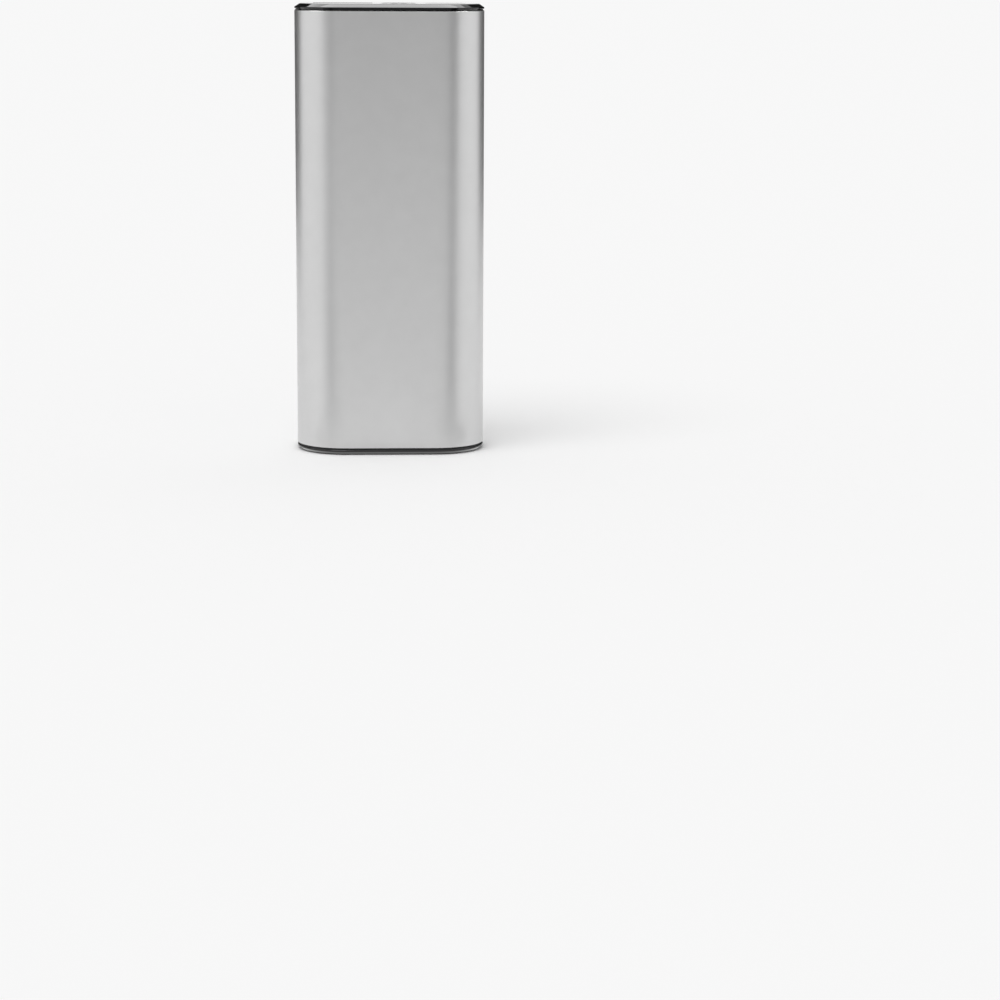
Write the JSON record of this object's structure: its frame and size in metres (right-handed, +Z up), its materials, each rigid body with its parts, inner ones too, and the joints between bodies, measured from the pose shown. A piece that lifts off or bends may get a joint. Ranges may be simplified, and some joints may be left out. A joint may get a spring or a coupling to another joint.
{
  "type": "rechargeable hand warmer",
  "caption": "Pocket hand warmer: a satin aluminium tube with black end covers around two cells, film heaters and a control board, with a press button and charging sockets on top.",
  "frame": {"origin": "middle of the lower cover's foot, on the surface that the hand warmer stands on", "axes": "+Z up along the tube to the cover with the button and sockets, +X to the viewer's right across the wide face, +Y to the back, the front face at -Y"},
  "size_m": [0.044, 0.026, 0.1042],
  "materials": {
    "anodised_aluminium": "satin",
    "gloss_black": "gloss",
    "black_nylon": "matte",
    "white_moulding": "satin",
    "zinc_steel": "satin",
    "nickel_steel": "gloss",
    "nickel_strip": "satin",
    "cell": "satin",
    "insulating_card": "matte",
    "polyimide_film": "satin",
    "silicone_foam": "matte",
    "epoxy_black": "matte",
    "ferrite": "matte",
    "circuit_board": "satin",
    "capacitor_can": "satin",
    "light_chip": "gloss",
    "clear_guide": "gloss",
    "red_wire": "satin",
    "black_wire": "satin",
    "white_wire": "satin"
  },
  "bodies": {
    "case": {"case_tube": "anodised_aluminium", "top_cover": "gloss_black", "bottom_cover": "gloss_black", "top_frame": "black_nylon", "bottom_frame": "black_nylon", "switch_base": "black_nylon", "usb_c_tongue": "black_nylon", "chassis_front": "white_moulding", "chassis_rear": "white_moulding", "usb_a_tongue": "white_moulding", "top_frame_screw_1": "zinc_steel", "top_frame_screw_2": "zinc_steel", "top_frame_screw_3": "zinc_steel", "top_frame_screw_4": "zinc_steel", "bottom_frame_screw_1": "zinc_steel", "bottom_frame_screw_2": "zinc_steel", "board_screw_1": "zinc_steel", "board_screw_2": "zinc_steel", "usb_a_shell": "nickel_steel", "usb_c_shell": "nickel_steel", "nickel_strip_top": "nickel_strip", "nickel_strip_bottom": "nickel_strip", "cell_left": "cell", "cell_right": "cell", "cell_insulator_top": "insulating_card", "cell_insulator_bottom": "insulating_card", "heater_front": "polyimide_film", "heater_rear": "polyimide_film", "heater_pad_front": "silicone_foam", "heater_pad_rear": "silicone_foam", "thermistor": "epoxy_black", "controller_chip": "epoxy_black", "charger_chip": "epoxy_black", "power_inductor": "ferrite", "main_board": "circuit_board", "capacitor_1": "capacitor_can", "capacitor_2": "capacitor_can", "led_1": "light_chip", "led_2": "light_chip", "led_3": "light_chip", "led_4": "light_chip", "light_guide": "clear_guide", "battery_lead_positive": "red_wire", "battery_lead_negative": "black_wire", "heater_lead_1": "white_wire", "heater_lead_2": "white_wire", "heater_lead_3": "white_wire", "heater_lead_4": "white_wire"},
    "button": {"power_button": "gloss_black"},
    "plunger": {"switch_plunger": "white_moulding"}
  },
  "joints": [
    {"name": "power_button_press", "type": "slide", "parent": "case", "child": "button", "axis": [0, 0, -1], "range_m": [0, 0.0005], "stiffness_N_per_m": 3200},
    {"name": "switch_plunger_press", "type": "slide", "parent": "case", "child": "plunger", "axis": [0, 0, -1], "range_m": [0, 0.0005], "stiffness_N_per_m": 0.01, "springref_m": -0.01}
  ],
  "couplings": [
    {"joint": "switch_plunger_press", "follows": "power_button_press", "ratio": 1}
  ]
}
